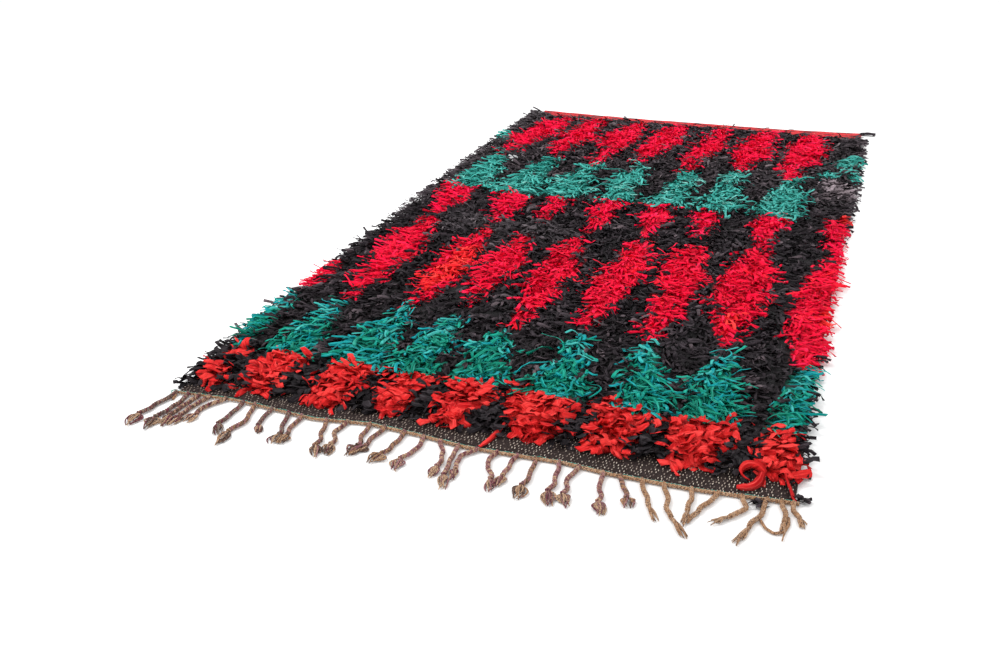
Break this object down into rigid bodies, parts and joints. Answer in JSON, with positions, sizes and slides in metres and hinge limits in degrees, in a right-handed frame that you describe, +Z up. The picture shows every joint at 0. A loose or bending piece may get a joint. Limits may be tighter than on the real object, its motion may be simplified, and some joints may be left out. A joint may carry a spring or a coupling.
{
  "type": "rag pile rug",
  "caption": "Long floor rug with a deep rag pile, a flat-woven band at each end, and a corded edge with knotted warp tassels at one end.",
  "frame": {"origin": "centre of the underside, on the floor", "axes": "+Y along the rug's length, away from the fringe, +X across it to the right, +Z up out of the pile"},
  "size_m": [1.607, 3.3389, 0.0389],
  "materials": {
    "ground_cloth": "dark flat weave with pale flecks, red at the plain end",
    "pile_rags": "shaggy strips of jersey and cloth in crimson, orange-red, blue-green and charcoal",
    "warp_yarn": "twisted wool and jute-like yarn, tan with brown and maroon",
    "dark_rags": "soft charcoal rag"
  },
  "bodies": {
    "root": {"ground_weave": "ground_cloth", "rag_pile": "pile_rags", "fringe": "warp_yarn", "rag_end_edge": "dark_rags", "rag_end_corner": "dark_rags", "loose_end": "dark_rags"}
  },
  "joints": []
}
